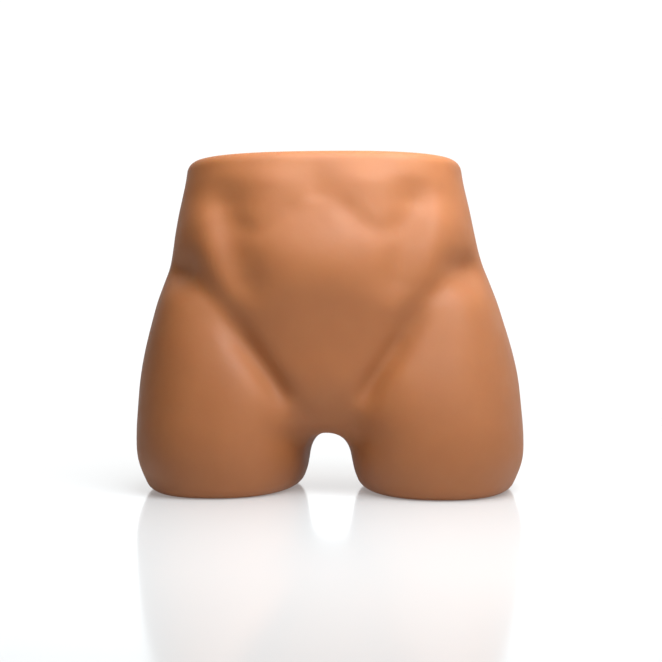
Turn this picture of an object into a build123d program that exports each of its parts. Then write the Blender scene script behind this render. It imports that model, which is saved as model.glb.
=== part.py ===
"""Lower-torso mannequin form: a soft cast body cut level at the waist and across both thighs.

The body is one thick elastomer casting round a rigid foam core. While it was cast, the core stood
in the mould on two posts, one up each thigh. Each post ran in a plastic sleeve in the foam, and the
hole that it left in the casting is closed with a plug.

Millimetres. +Z up, the front faces -Y, so the body's own left is +X. The origin is on the floor,
under the middle of the body.
"""

import math
import os
from collections import namedtuple

from build123d import *

# Driving dimensions
HIP_WIDTH = 340.0  # widest, low on the hips
HEIGHT = 288.0  # floor to the waist cut
DEPTH = 228.0  # fronts of the thighs to the fullest part of the seat
WALL = 24.0  # casting thickness round the core
RIM_ROUND = 9.0  # rounded edge of the waist cut
FOOT_ROUND = 7.0  # rounded edge of each thigh cut

# The casting posts' traces, one in each thigh
POST_X = 0.285 * HIP_WIDTH
POST_Y = -0.03 * DEPTH
POST_RADIUS = 8.0
SLEEVE_WALL = 2.5
SLEEVE_LENGTH = 70.0
PLUG_RADIUS = 14.0
PLUG_HEAD = 6.0  # thickness of the wide end, which seals the hole
PLUG_RECESS = 0.5  # the plug's face stands this far inside the thigh cut
PLUG_GRIP = 12.0  # how far the plug's stem goes into the sleeve
PLUG_EDGE = 0.8  # rounded edge of the plug's face

SLEEVE_RADIUS = POST_RADIUS + SLEEVE_WALL
FROM_BELOW = (Align.CENTER, Align.CENTER, Align.MIN)

# A level slice of the trunk or of a leg. Heights are shares of HEIGHT, and the rest are shares of
# HIP_WIDTH or DEPTH: where its middle is from side to side, its half width, where its front and
# its back lie, and the depth at which it is widest. Squareness is 2 for an ellipse.
Slice = namedtuple("Slice", "height centre half_width front back widest squareness")

# The trunk narrows below the hips, to a wedge between the legs
TRUNK = [
    Slice(0.155, 0.0, 0.060, -0.14, 0.13, 0.00, 2.2),
    Slice(0.215, 0.0, 0.120, -0.28, 0.25, 0.00, 2.2),
    Slice(0.300, 0.0, 0.215, -0.36, 0.34, 0.01, 2.2),
    Slice(0.400, 0.0, 0.320, -0.39, 0.37, 0.02, 2.3),
    Slice(0.520, 0.0, 0.395, -0.41, 0.38, 0.01, 2.4),
    Slice(0.700, 0.0, 0.402, -0.435, 0.33, -0.03, 2.5),
    Slice(0.870, 0.0, 0.375, -0.425, 0.295, -0.05, 2.5),
    Slice(1.000, 0.0, 0.357, -0.405, 0.310, -0.05, 2.5),
]

# One leg, from its cut up into the hip
LEG = [
    Slice(0.000, 0.286, 0.176, -0.455, 0.355, -0.01, 2.35),
    Slice(0.090, 0.286, 0.208, -0.488, 0.375, -0.01, 2.35),
    Slice(0.190, 0.277, 0.222, -0.500, 0.395, 0.00, 2.35),
    Slice(0.300, 0.270, 0.225, -0.492, 0.415, 0.02, 2.35),
    Slice(0.410, 0.278, 0.208, -0.470, 0.410, 0.04, 2.35),
    Slice(0.520, 0.300, 0.162, -0.430, 0.365, 0.05, 2.3),
    Slice(0.640, 0.322, 0.095, -0.340, 0.280, 0.05, 2.2),
    Slice(0.720, 0.335, 0.045, -0.200, 0.160, 0.03, 2.1),
]

# One half of the seat, an ellipsoid: its centre and its radii as shares of width, depth and height
SEAT_CENTRE = (0.170, 0.090, 0.400)
SEAT_RADII = (0.250, 0.410, 0.310)
OUTLINE_POINTS = 24
NARROWEST_SLICE = 1.3  # a slice is left out of the inset shape if its half width is under this many insets


def power(value, exponent):
    """value to a power, with its sign kept."""
    return math.copysign(abs(value) ** exponent, value)


def outline(level, side, inset):
    """Points round one slice on the given side, moved in by inset."""
    widest = level.widest * DEPTH
    reach_back = (level.back - level.widest) * DEPTH - inset
    reach_front = (level.widest - level.front) * DEPTH - inset
    for i in range(OUTLINE_POINTS):
        turn = 2 * math.pi * i / OUTLINE_POINTS
        across = power(math.cos(turn), 2 / level.squareness)
        along = power(math.sin(turn), 2 / level.squareness)
        x = side * level.centre * HIP_WIDTH + (level.half_width * HIP_WIDTH - inset) * across
        yield x, widest + (reach_back if along > 0 else reach_front) * along


def inset_height(share, inset):
    """A height given as a share of HEIGHT, when the body is a wall thickness short at each end."""
    return inset + share * (HEIGHT - 2 * inset)


def slice_face(level, side, inset):
    """One slice as a face."""
    with BuildSketch(Plane.XY.offset(inset_height(level.height, inset))) as profile:
        with BuildLine():
            Spline(*outline(level, side, inset), periodic=True)
        make_face()
    return profile.sketch.face()


def slices(levels, side, inset):
    """The faces of the slices that are wide enough to be moved in that far."""
    least = NARROWEST_SLICE * inset / HIP_WIDTH
    return [slice_face(level, side, inset) for level in levels if level.half_width > least]


def seat_half(side, inset):
    """The seat's half on that side."""
    centre_x, centre_y, centre_z = SEAT_CENTRE
    sizes = (HIP_WIDTH, DEPTH, HEIGHT)
    radii = tuple(share * size - inset for share, size in zip(SEAT_RADII, sizes))
    place = (side * centre_x * HIP_WIDTH, centre_y * DEPTH, inset_height(centre_z, inset))
    with BuildPart() as half:
        Sphere(1)
        scale(by=radii)
    return half.part.moved(Location(place))


def body_shape(inset=0.0):
    """The trunk, the legs and the seat as one solid, moved in by inset all round."""
    with BuildPart() as shape:
        loft(sections=slices(TRUNK, 0, inset))
        for side in (-1, 1):
            loft(sections=slices(LEG, side, inset))
            add(seat_half(side, inset))
    return shape.part


def save(part, name):
    """Writes one piece under its name."""
    part.label = name
    export_step(part, f"parts/{name}.step")


os.makedirs("parts", exist_ok=True)

# The moulded foam core: the body's own shape one wall thickness in, with a pocket for each sleeve
with BuildPart() as foam_core:
    add(body_shape(WALL))
    with Locations((-POST_X, POST_Y, WALL), (POST_X, POST_Y, WALL)):
        Cylinder(SLEEVE_RADIUS, SLEEVE_LENGTH, align=FROM_BELOW, mode=Mode.SUBTRACT)
save(foam_core.part, "foam_core")

# What the casting flowed round: the core with its sleeves in place
with BuildPart() as filled_core:
    add(foam_core.part)
    with Locations((-POST_X, POST_Y, WALL), (POST_X, POST_Y, WALL)):
        Cylinder(SLEEVE_RADIUS, SLEEVE_LENGTH, align=FROM_BELOW)

# The casting, with the two holes that the posts left
with BuildPart() as skin:
    add(body_shape())
    fillet(skin.edges().group_by(Axis.Z)[-1], RIM_ROUND)
    fillet(skin.edges().group_by(Axis.Z)[0], FOOT_ROUND)
    add(filled_core.part, mode=Mode.SUBTRACT)
    with Locations((-POST_X, POST_Y, 0), (POST_X, POST_Y, 0)):
        Cylinder(POST_RADIUS, WALL, align=FROM_BELOW, mode=Mode.SUBTRACT)
        Cylinder(PLUG_RADIUS, PLUG_RECESS + PLUG_HEAD, align=FROM_BELOW, mode=Mode.SUBTRACT)
save(skin.part, "skin")

for side, x in (("right", -POST_X), ("left", POST_X)):
    # A plastic tube that the post slid into
    with BuildPart(Location((x, POST_Y, WALL))) as post_sleeve:
        Cylinder(SLEEVE_RADIUS, SLEEVE_LENGTH, align=FROM_BELOW)
        Cylinder(POST_RADIUS, SLEEVE_LENGTH, align=FROM_BELOW, mode=Mode.SUBTRACT)
    save(post_sleeve.part, f"post_sleeve_{side}")

    # A stepped plug that fills the post's hole and grips the sleeve
    with BuildPart(Location((x, POST_Y, PLUG_RECESS))) as thigh_plug:
        Cylinder(PLUG_RADIUS, PLUG_HEAD, align=FROM_BELOW)
        Cylinder(POST_RADIUS, WALL - PLUG_RECESS + PLUG_GRIP, align=FROM_BELOW)
        fillet(thigh_plug.edges().group_by(Axis.Z)[0], PLUG_EDGE)
    save(thigh_plug.part, f"thigh_plug_{side}")
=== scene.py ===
"""Looks for the lower-torso mannequin form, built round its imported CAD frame.

The soft skin is sculpted here. A distance field joins the trunk, the thighs and the seat, strokes
raise the muscles and press in the creases, and the field's zero surface becomes a mesh. The foam
core, the post sleeves and the plugs keep their CAD shapes and get their materials here.

Shapes are in design millimetres: +X is the body's own left, -Y its front, +Z up, and the floor is
z = 0. UNIT turns them into metres at the frame's size.
"""

import math
from collections import namedtuple

import bpy
import numpy as np
import openvdb
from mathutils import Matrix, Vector


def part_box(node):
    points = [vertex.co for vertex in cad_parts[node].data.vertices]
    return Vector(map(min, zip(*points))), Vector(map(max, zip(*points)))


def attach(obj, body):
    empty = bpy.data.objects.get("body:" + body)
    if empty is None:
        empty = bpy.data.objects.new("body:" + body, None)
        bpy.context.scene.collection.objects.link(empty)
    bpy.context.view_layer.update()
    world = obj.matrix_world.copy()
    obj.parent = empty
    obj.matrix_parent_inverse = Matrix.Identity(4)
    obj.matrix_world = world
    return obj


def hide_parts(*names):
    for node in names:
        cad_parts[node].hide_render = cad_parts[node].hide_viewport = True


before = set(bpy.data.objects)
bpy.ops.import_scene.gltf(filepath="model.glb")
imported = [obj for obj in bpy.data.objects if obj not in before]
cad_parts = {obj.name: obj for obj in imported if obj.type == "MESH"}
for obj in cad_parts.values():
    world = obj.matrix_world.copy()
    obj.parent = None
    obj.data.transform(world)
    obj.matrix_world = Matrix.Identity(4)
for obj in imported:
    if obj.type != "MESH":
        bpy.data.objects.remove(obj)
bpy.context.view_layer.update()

DESIGN_WIDTH = 339.4  # the skin's width in design millimetres
skin_low, skin_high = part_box("skin")
UNIT = (skin_high.x - skin_low.x) / DESIGN_WIDTH
TOP = (skin_high.z - skin_low.z) / UNIT  # the waist cut

VOXEL = 2.25  # the step of the distance field's grid
GRID_HALF_WIDTH = 184.0
GRID_HALF_DEPTH = 128.0
GRID_MARGIN = 10.0  # how far the grid goes past the floor and the waist cut
RIM_ROUND = 9.0  # rounded edge of the waist cut
FOOT_ROUND = 7.0  # rounded edge of each thigh cut
LEAN = -4.8  # the waist stands a little to the body's right of the thighs
LEAN_FROM = 20.0  # the height where the shift starts
PLUG_RADIUS = 14.0
PLUG_HEAD = 6.5  # the top of the plug's wide head
STEM_RADIUS = 8.0
WALL = 24.0  # the casting's thickness under the core
SHARP_ANGLE = 60.0  # degrees, at the edges of the plugs' holes

# ---------------------------------------------------------------------------------------------
# The body's big forms, as level slices: the height, the centre across, the half width, where the
# front and the back lie, the depth where it is widest, and how square it is (2 is an ellipse).

Level = namedtuple("Level", "z centre half_width front back widest squareness")

TRUNK = [
    Level(300, 0, 119.5, -87, 71, -11, 2.5),
    Level(286, 0, 120.5, -90, 70, -11, 2.5),
    Level(270, 0, 122.5, -93, 68, -11, 2.5),
    Level(250, 0, 127, -95, 67, -12, 2.5),
    Level(228, 0, 131, -98.5, 68, -12, 2.55),
    Level(205, 0, 135.5, -101, 73, -8, 2.6),
    Level(180, 0, 136, -100.5, 82, 0, 2.6),
    Level(150, 0, 130, -97, 86, 4, 2.6),
    Level(120, 0, 116, -93, 84, 4, 2.6),
    Level(95, 0, 93, -91, 78, 2, 2.5),
    Level(75, 0, 70, -84, 68, 0, 2.4),
    Level(55, 0, 46, -67, 52, -2, 2.2),
    Level(42, 0, 38, -52, 40, -2, 2.2),
]
TRUNK_BOTTOM = 52.0  # the underside between the thighs
TRUNK_BOTTOM_ROUND = 10.0  # and its rounded edge

THIGH = [
    Level(290, 88, 3, -6, 8, 0, 2.0),
    Level(260, 89, 5, -12, 12, 0, 2.0),
    Level(240, 91, 9, -22, 18, 1, 2.05),
    Level(222, 94, 17, -38, 28, 2, 2.1),
    Level(206, 96, 28, -58, 46, 5, 2.15),
    Level(190, 95, 45, -72, 62, 7, 2.3),
    Level(172, 96, 53, -81, 73, 8, 2.4),
    Level(150, 97.5, 58, -87, 82, 8, 2.45),
    Level(125, 94.5, 68, -93.5, 88, 8, 2.45),
    Level(97, 89, 79, -101, 90, 6, 2.4),
    Level(75, 90, 79.5, -105, 89, 3, 2.4),
    Level(48, 94.3, 77, -107.5, 87, 3, 2.35),
    Level(25, 95, 75.5, -106, 86, 6, 2.3),
    Level(10, 94, 71, -102, 84, 9, 2.25),
    Level(-8, 95, 61, -96, 78, 10, 2.25),
]

# How softly a thigh joins the trunk, by height: an arch between the thighs, a close crease in the
# groin and a broad valley at the hip. Pairs of height and softness.
GROIN_SOFTNESS = [(30, 26), (60, 24), (90, 10), (125, 10), (165, 14), (195, 16), (215, 13), (235, 6)]

# The seat: half of a pair of soft masses
SEAT_CENTRE = (60.0, 50.0, 114.0)
SEAT_RADII = (70.0, 64.0, 74.0)
SEAT_CLEFT = 10.0  # how softly its halves join
SEAT_JOINT = 14.0  # and how softly it joins the body

# ---------------------------------------------------------------------------------------------
# Relief: strokes on the body's right and left alike. A path is (across, height) points on the
# front or the back. A positive rise is a swell, a negative one a furrow, and spread is its reach.
# A stroke down the middle counts twice.

Stroke = namedtuple("Stroke", "side path rise spread")

FURROW = [(118, 199), (107, 184), (88, 165), (75, 147), (64, 130), (53, 114), (42, 98), (33, 84), (26, 70)]
VALLEY = [(82, 272), (79, 252), (75, 228), (69, 202), (62, 176), (54, 152)]

STROKE_FADE = 0.25  # the share of a path over which each of its ends fades
RELIEF_END = 5.0  # how far under the waist cut the relief ends
RELIEF_FADE = 24.0  # the height over which it fades out there

STROKES = [
    # The outer furrow, which sharpens into the groin crease, and the hollow at its top
    Stroke("front", FURROW, -4.8, 11.5),
    Stroke("front", [(72, 143), (58, 121), (46, 104), (36, 89), (27, 74)], -1.6, 8.5),
    Stroke("front", [(117, 189)], -9.5, 16.5),
    # The ridge beside it, and the valley that parts that ridge from the belly
    Stroke("front", [(104, 256), (101, 236), (96, 213), (88, 188), (76, 164), (62, 142)], 3.8, 20.0),
    Stroke("front", VALLEY, -5.0, 16.5),
    # The lowest pads of the abdomen, the curved crease under each, and the line between them
    Stroke("front", [(42, 262)], 2.5, 26.0),
    Stroke("front", [(6, 250), (22, 238), (36, 226), (50, 220), (63, 225), (74, 240)], -1.5, 9.5),
    Stroke("front", [(0, 284), (0, 262), (0, 240)], -0.5, 12.0),
    # The belly's swell
    Stroke("front", [(22, 190)], 5.0, 38.0),
    # The back: the spine's groove, the muscle beside it, the dimples, and the fold under the seat
    Stroke("back", [(0, 292), (0, 250), (0, 205)], -2.0, 12.0),
    Stroke("back", [(28, 284), (28, 245), (26, 210)], 2.5, 14.0),
    Stroke("back", [(38, 210)], -2.5, 11.0),
    Stroke("back", [(20, 64), (44, 56), (76, 54), (108, 62)], -3.5, 10.0),
]


def softened(z, heights, values, soften=9.0):
    """The value at each z, on a smooth curve near those given at the heights."""
    order = np.argsort(heights)
    at, given = np.array(heights, float)[order], np.array(values, float)[order]
    fine = np.arange(-40.0, TOP + 40.0)  # past both ends of the body, every millimetre
    slopes = np.gradient(given, at)
    before = np.clip(np.searchsorted(at, fine, side="right") - 1, 0, len(at) - 2)
    span = at[before + 1] - at[before]
    t = np.clip((fine - at[before]) / span, 0, 1)
    rise = t * t * (3 - 2 * t)
    curve = given[before] + rise * (given[before + 1] - given[before])
    curve += span * (t * (1 - t) ** 2 * slopes[before] - t * t * (1 - t) * slopes[before + 1])
    reach = np.arange(-3 * soften, 3 * soften + 1)
    kernel = np.exp(-((reach / soften) ** 2))
    padded = np.pad(curve, len(reach) // 2, mode="edge")
    return np.interp(z, fine, np.convolve(padded, kernel / kernel.sum(), mode="valid"))


def loft(x, y, z, levels):
    """Distance to a body given by its level slices, close to true near its surface."""
    columns = Level(*zip(*levels))
    at = Level(z, *(softened(z, columns.z, values) for values in columns[1:]))
    across = np.abs(x - at.centre) / at.half_width
    reach = np.where(y < at.widest, at.widest - at.front, at.back - at.widest)
    along = np.abs(y - at.widest) / reach
    radius = (across**at.squareness + along**at.squareness) ** (1 / at.squareness)
    slope = np.sqrt(sum(part**2 for part in np.gradient(radius, VOXEL)))
    return (radius - 1) / np.maximum(slope, 1e-4)


def ellipsoid(x, y, z, centre, radii):
    """Distance to an ellipsoid, close to true near its surface."""
    offset = [(axis - middle) for axis, middle in zip((x, y, z), centre)]
    near = np.sqrt(sum((o / r) ** 2 for o, r in zip(offset, radii)))
    slope = np.sqrt(sum((o / r**2) ** 2 for o, r in zip(offset, radii)))
    return near * (near - 1) / np.maximum(slope, 1e-4)


def blend(a, b, soft):
    """The union of two distances, with a soft joint between them."""
    overlap = np.maximum(soft - np.abs(a - b), 0) / soft
    return np.minimum(a, b) - overlap**2 * soft / 4


def cut(body, plane, radius):
    """The body with what is beyond a plane cut away, and the cut's edge rounded."""
    inside = np.minimum(-radius, np.maximum(body, plane))
    return inside + np.hypot(np.maximum(body + radius, 0), np.maximum(plane + radius, 0))


def smooth_path(points, step=3.0):
    """A smooth line through the points (Catmull-Rom), as closely spaced points."""
    points = np.array(points, float)
    if len(points) == 1:
        return points
    ends = np.concatenate([[2 * points[0] - points[1]], points, [2 * points[-1] - points[-2]]])
    line = []
    for a, b, c, d in zip(ends, ends[1:], ends[2:], ends[3:]):
        count = max(2, math.ceil(np.linalg.norm(c - b) / step))
        for t in np.arange(count) / count:
            line.append(b + 0.5 * t * (c - a + t * (2 * a - 5 * b + 4 * c - d + t * (3 * (b - c) + d - a))))
    return np.array(line + [points[-1]])


def nearness(points, path):
    """Each flat point's distance to the path, and how far along it that is, from 0 to 1."""
    if len(path) == 1:
        return np.linalg.norm(points - path[0], axis=1), np.full(len(points), 0.5)
    best = np.full(len(points), np.inf)
    where = np.zeros(len(points))
    for i, (a, b) in enumerate(zip(path, path[1:])):
        along = b - a
        t = np.clip((points - a) @ along / (along @ along), 0, 1)
        gap = np.linalg.norm(points - a - t[:, None] * along, axis=1)
        closer = gap < best
        best[closer] = gap[closer]
        where[closer] = (i + t[closer]) / (len(path) - 1)
    return best, where


def eased(share):
    """A share held to 0 to 1, with soft ends."""
    share = np.clip(share, 0, 1)
    return share * share * (3 - 2 * share)


def relief(side, x, z):
    """How far all that side's strokes together move the surface outwards, over the grid's x and z."""
    places = np.stack(np.broadcast_arrays(x[:, :1, :], z[:, :1, :]), axis=-1).reshape(-1, 2)
    total = np.zeros(len(places))
    for stroke in STROKES:
        if stroke.side != side:
            continue
        path = smooth_path(stroke.path)
        for mirror in (-1, 1):
            gap, where = nearness(places * (mirror, 1), path)
            ends = 1.0 if len(path) == 1 else eased(np.minimum(where, 1 - where) / STROKE_FADE)
            total += stroke.rise * ends * np.exp(-((gap / stroke.spread) ** 2))
    total *= eased((TOP - RELIEF_END - places[:, 1]) / RELIEF_FADE)
    return total.reshape(x.shape[0], 1, x.shape[2])


def body_field():
    """The distance to the body on a grid, and the grid's lowest corner."""
    low = np.array([-GRID_HALF_WIDTH, -GRID_HALF_DEPTH, -GRID_MARGIN])
    high = np.array([GRID_HALF_WIDTH, GRID_HALF_DEPTH, TOP + GRID_MARGIN])
    axes = [np.arange(a, b + VOXEL / 2, VOXEL) for a, b in zip(low, high)]
    x, y, z = np.meshgrid(*axes, indexing="ij")
    body = cut(loft(x, y, z, TRUNK), TRUNK_BOTTOM - z, TRUNK_BOTTOM_ROUND)
    seat = None
    for side in (-1, 1):
        body = blend(body, loft(side * x, y, z, THIGH), softened(z, *zip(*GROIN_SOFTNESS)))
        half = ellipsoid(side * x, y, z, SEAT_CENTRE, SEAT_RADII)
        seat = half if seat is None else blend(seat, half, SEAT_CLEFT)
    body = blend(body, seat, SEAT_JOINT)
    slope = np.gradient(body, VOXEL)
    facing_back = slope[1] / np.maximum(np.sqrt(sum(part**2 for part in slope)), 1e-6)
    # Each relief is full where the surface faces its way and fades out round the sides
    body -= relief("front", x, z) * eased(0.2 - 2 * facing_back)
    body -= relief("back", x, z) * eased(0.2 + 2 * facing_back)
    body = cut(body, z - TOP, RIM_ROUND)
    body = cut(body, -z, FOOT_ROUND)
    return body, low


def sample(grid, low, points):
    """The grid's value at each point, by its eight neighbours."""
    place = (points - low) / VOXEL
    base = np.clip(np.floor(place).astype(int), 0, np.array(grid.shape) - 2)
    part = place - base
    total = 0
    for corner in np.ndindex(2, 2, 2):
        share = np.prod(np.where(corner, part, 1 - part), axis=1)
        total = total + share * grid[tuple((base + corner).T)]
    return total


def surface(grid, low):
    """The field's zero surface: its points, drawn onto it, and its quads."""
    band = 3 * VOXEL
    volume = openvdb.FloatGrid(band)
    volume.copyFromArray(np.ascontiguousarray(np.clip(grid, -band, band), np.float32))
    points, quads = volume.convertToQuads(isovalue=0)
    points = points.astype(float) * VOXEL + low
    slopes = np.gradient(grid, VOXEL)
    for _ in range(3):
        normals = np.stack([sample(slope, low, points) for slope in slopes], axis=1)
        normals /= np.linalg.norm(normals, axis=1, keepdims=True)
        points -= normals * sample(grid, low, points)[:, None]
    return points, quads.tolist()


def lean(points):
    """Shifts the points sideways, more and more towards the waist."""
    points[:, 0] += LEAN * eased((points[:, 2] - LEAN_FROM) / (TOP - LEAN_FROM))


def new_object(name, points, faces):
    """A smooth-shaded mesh object, from points in design millimetres."""
    mesh = bpy.data.meshes.new(name)
    mesh.from_pydata((np.asarray(points) * UNIT).tolist(), [], faces)
    mesh.validate()
    mesh.polygons.foreach_set("use_smooth", [True] * len(mesh.polygons))
    piece = bpy.data.objects.new(name, mesh)
    bpy.context.scene.collection.objects.link(piece)
    return piece


def turned(profile, centre, sides=64):
    """A closed solid of revolution about an upright axis: its points and faces, from (radius, z)."""
    turns = np.arange(sides) * 2 * math.pi / sides
    points = [(centre.x + r * math.cos(a), centre.y + r * math.sin(a), z) for r, z in profile for a in turns]
    faces = []
    for level in range(len(profile) - 1):
        for i in range(sides):
            after = (i + 1) % sides
            low, high = level * sides, (level + 1) * sides
            faces.append((low + i, low + after, high + after, high + i))
    top = (len(profile) - 1) * sides
    return points, [*faces, tuple(range(sides))[::-1], tuple(range(top, top + sides))]


def cut_pocket(piece, plug):
    """Cuts the hole for a plug up into the piece: wide for its head, then narrow for its stem."""
    low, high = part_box(plug)
    under = -20.0  # the cut starts under the floor
    profile = [(PLUG_RADIUS, under), (PLUG_RADIUS, PLUG_HEAD), (STEM_RADIUS, PLUG_HEAD), (STEM_RADIUS, WALL)]
    cutter = new_object("pocket_cutter", *turned(profile, (low + high) / 2 / UNIT))
    modifier = piece.modifiers.new("pocket", "BOOLEAN")
    modifier.operation = "DIFFERENCE"
    modifier.object = cutter
    carved = bpy.data.meshes.new_from_object(piece.evaluated_get(bpy.context.evaluated_depsgraph_get()))
    piece.modifiers.clear()
    piece.data = carved
    bpy.data.objects.remove(cutter)


def make_skin():
    """The casting's outer surface, with the two plugs' holes."""
    points, quads = surface(*body_field())
    points[:, 2] = np.clip(points[:, 2], 0, TOP)
    lean(points)
    piece = new_object("skin_casting", points, quads)
    for side in ("left", "right"):
        cut_pocket(piece, f"thigh_plug_{side}")
    piece.data.set_sharp_from_angle(angle=math.radians(SHARP_ANGLE))
    return piece


# ---------------------------------------------------------------------------------------------
# Materials


def material(name, colour, roughness):
    """A new node material, its tree and its shader. Textures can be linked over the two values."""
    made = bpy.data.materials.new(name)
    made.use_nodes = True
    shader = made.node_tree.nodes["Principled BSDF"]
    shader.inputs["Base Color"].default_value = (*colour, 1)
    shader.inputs["Roughness"].default_value = roughness
    return made, made.node_tree, shader


def noise(tree, size_mm, detail=3.0):
    """A noise texture whose features are about that size."""
    place = tree.nodes.new("ShaderNodeTexCoord")
    texture = tree.nodes.new("ShaderNodeTexNoise")
    texture.inputs["Scale"].default_value = 1 / (size_mm * UNIT)
    texture.inputs["Detail"].default_value = detail
    tree.links.new(place.outputs["Object"], texture.inputs["Vector"])
    return texture.outputs["Fac"]


def ramp(tree, value, stops):
    """A colour ramp on a value, from (position, colour) stops."""
    node = tree.nodes.new("ShaderNodeValToRGB")
    elements = node.color_ramp.elements
    while len(elements) < len(stops):
        elements.new(0.5)
    for element, (position, colour) in zip(elements, stops):
        element.position = position
        element.color = (*colour, 1)
    tree.links.new(value, node.inputs["Fac"])
    return node.outputs["Color"]


def bump(tree, shader, height, depth_mm, before=None):
    """Bump of that depth on the shader, after an earlier bump if there is one."""
    node = tree.nodes.new("ShaderNodeBump")
    node.inputs["Strength"].default_value = 1.0
    node.inputs["Distance"].default_value = depth_mm * UNIT
    tree.links.new(height, node.inputs["Height"])
    if before is not None:
        tree.links.new(before, node.inputs["Normal"])
    tree.links.new(node.outputs["Normal"], shader.inputs["Normal"])
    return node.outputs["Normal"]


def skin_material():
    made, tree, shader = material("skin_elastomer", (0.307, 0.107, 0.034), 0.55)
    shader.inputs["Subsurface Weight"].default_value = 0.3
    shader.inputs["Subsurface Radius"].default_value = (1.0, 0.35, 0.15)
    shader.inputs["Subsurface Scale"].default_value = 5 * UNIT
    shader.inputs["IOR"].default_value = 1.4
    stops = [(0.3, (0.291, 0.1, 0.0315)), (0.7, (0.323, 0.114, 0.0365))]
    tones = ramp(tree, noise(tree, 45.0, 4.0), stops)
    tree.links.new(tones, shader.inputs["Base Color"])
    shine = ramp(tree, noise(tree, 25.0), [(0.3, (0.5,) * 3), (0.7, (0.6,) * 3)])
    tree.links.new(shine, shader.inputs["Roughness"])
    first = bump(tree, shader, noise(tree, 6.0, 2.0), 0.08)
    bump(tree, shader, noise(tree, 0.7, 2.0), 0.02, first)
    return made


def foam_material():
    made, tree, shader = material("core_foam", (0.8, 0.7, 0.5), 0.85)
    tones = ramp(tree, noise(tree, 12.0), [(0.3, (0.74, 0.64, 0.44)), (0.7, (0.84, 0.75, 0.56))])
    tree.links.new(tones, shader.inputs["Base Color"])
    bump(tree, shader, noise(tree, 1.6, 2.0), 0.3)
    return made


def sleeve_material():
    made, tree, shader = material("sleeve_plastic", (0.72, 0.72, 0.68), 0.4)
    shine = ramp(tree, noise(tree, 8.0), [(0.3, (0.36,) * 3), (0.7, (0.46,) * 3)])
    tree.links.new(shine, shader.inputs["Roughness"])
    bump(tree, shader, noise(tree, 0.9), 0.02)
    return made


def plug_material():
    made, tree, shader = material("plug_elastomer", (0.33, 0.15, 0.07), 0.55)
    shader.inputs["Subsurface Weight"].default_value = 0.2
    shader.inputs["Subsurface Radius"].default_value = (1.0, 0.4, 0.2)
    shader.inputs["Subsurface Scale"].default_value = 3 * UNIT
    tones = ramp(tree, noise(tree, 9.0), [(0.3, (0.3, 0.135, 0.062)), (0.7, (0.36, 0.165, 0.08))])
    tree.links.new(tones, shader.inputs["Base Color"])
    bump(tree, shader, noise(tree, 0.7, 2.0), 0.03)
    return made


def dress(piece, finish):
    """Gives a piece one material all over."""
    piece.data.materials.clear()
    piece.data.materials.append(finish)


# ---------------------------------------------------------------------------------------------
# The stage

CAMERA_AZIMUTH = 3.5  # degrees from straight ahead, towards the body's left
CAMERA_DISTANCE = 1000.0
CAMERA_HEIGHT = 125.0
FOCAL_PIXELS = 1108.0
IMAGE_SIZE = 662.0
HORIZON_BELOW_MIDDLE = 16.2  # how far under the picture's middle the camera's own level is
AXIS_LEFT_OF_MIDDLE = 0.5
SENSOR = 36.0
BACKDROP_LIGHT = 1.05  # the white backdrop behind the body
BACKDROP_SIDE = (0.71, 0.7)  # it stands behind the body and round to its left
ROOM_LIGHT = 0.12  # the dimmer room in front of it
BACKDROP_EDGE = (-0.4, 0.35)  # from the room's light to the backdrop's, as cosines to that side
FLOOR_GLOW = 0.22  # light that comes up through the white acrylic floor
FLOOR_REACH = 9000.0
SOFT_BOX_SIZE = 440.0
SOFT_BOX_AIM = 120.0  # the height that the soft lights point at


def make_camera():
    """The camera, level and turned to the body's middle."""
    camera = bpy.data.cameras.new("camera")
    camera.sensor_width = SENSOR
    camera.lens = FOCAL_PIXELS / IMAGE_SIZE * SENSOR
    camera.shift_x = AXIS_LEFT_OF_MIDDLE / IMAGE_SIZE
    camera.shift_y = HORIZON_BELOW_MIDDLE / IMAGE_SIZE
    holder = bpy.data.objects.new("camera", camera)
    turn = math.radians(CAMERA_AZIMUTH)
    holder.location = Vector(
        (math.sin(turn) * CAMERA_DISTANCE, -math.cos(turn) * CAMERA_DISTANCE, CAMERA_HEIGHT)
    ) * UNIT
    holder.rotation_euler = (math.pi / 2, 0, turn)
    bpy.context.scene.collection.objects.link(holder)
    bpy.context.scene.camera = holder


def soft_box(name, place, power, tint=(1, 1, 1)):
    """A square soft light at a place in design millimetres, turned to the body."""
    light = bpy.data.lights.new(name, "AREA")
    light.size = SOFT_BOX_SIZE * UNIT
    light.energy = power
    light.color = tint
    holder = bpy.data.objects.new(name, light)
    holder.visible_camera = False
    holder.location = Vector(place) * UNIT
    towards = Vector((0, 0, SOFT_BOX_AIM)) - Vector(place)
    holder.rotation_euler = towards.to_track_quat("-Z", "Y").to_euler()
    bpy.context.scene.collection.objects.link(holder)


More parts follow.
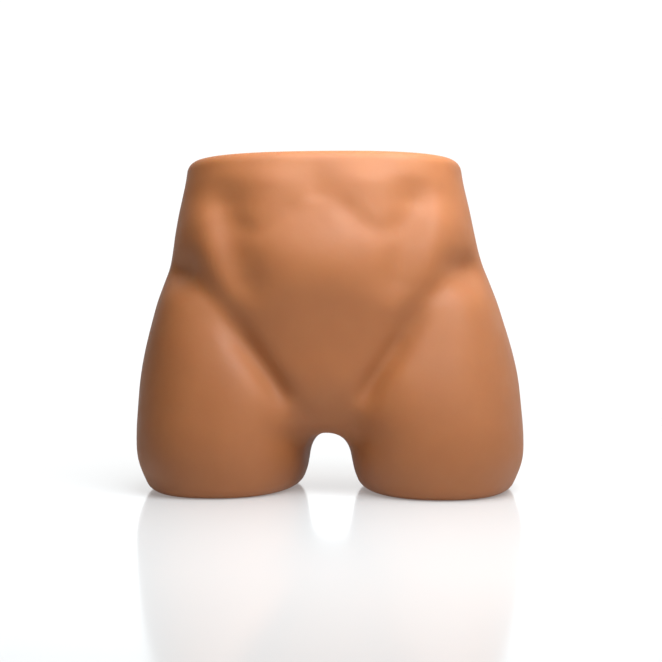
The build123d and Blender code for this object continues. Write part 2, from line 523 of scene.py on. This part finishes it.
def make_studio():
    """A white backdrop all round behind the body, and a dimmer room in front of it."""
    world = bpy.data.worlds.new("studio")
    world.use_nodes = True
    tree = world.node_tree
    background = tree.nodes["Background"]
    background.inputs["Color"].default_value = (1, 1, 1, 1)
    direction = tree.nodes.new("ShaderNodeTexCoord")
    facing = tree.nodes.new("ShaderNodeVectorMath")
    facing.operation = "DOT_PRODUCT"
    facing.inputs[1].default_value = (*BACKDROP_SIDE, 0)
    shade = tree.nodes.new("ShaderNodeMapRange")
    shade.interpolation_type = "SMOOTHSTEP"
    shade.inputs["From Min"].default_value = BACKDROP_EDGE[0]
    shade.inputs["From Max"].default_value = BACKDROP_EDGE[1]
    shade.inputs["To Min"].default_value = ROOM_LIGHT
    shade.inputs["To Max"].default_value = BACKDROP_LIGHT
    tree.links.new(direction.outputs["Generated"], facing.inputs[0])
    tree.links.new(facing.outputs["Value"], shade.inputs["Value"])
    tree.links.new(shade.outputs["Result"], background.inputs["Strength"])
    bpy.context.scene.world = world


def make_stage():
    """The white floor, the studio round it and the two soft lights."""
    corners = [(FLOOR_REACH * a, FLOOR_REACH * b, 0) for a, b in ((-1, -1), (1, -1), (1, 1), (-1, 1))]
    floor = new_object("floor", corners, [(0, 1, 2, 3)])
    made, tree, shader = material("studio_floor", (0.54, 0.56, 0.56), 0.12)
    shader.inputs["Emission Color"].default_value = (1, 1, 1, 1)
    shader.inputs["Emission Strength"].default_value = FLOOR_GLOW
    dress(floor, made)
    make_studio()
    soft_box("top_light", (72, -225, 525), 3.5, (1, 1.06, 1.12))
    soft_box("side_light", (205, -385, 455), 1.65)
    bpy.context.scene.view_settings.view_transform = "Standard"


make_camera()
make_stage()

skin = make_skin()
dress(skin, skin_material())
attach(skin, "root")
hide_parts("skin")

foam, sleeve, plug = foam_material(), sleeve_material(), plug_material()
dress(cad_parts["foam_core"], foam)
for side in ("left", "right"):
    dress(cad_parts[f"post_sleeve_{side}"], sleeve)
    dress(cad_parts[f"thigh_plug_{side}"], plug)
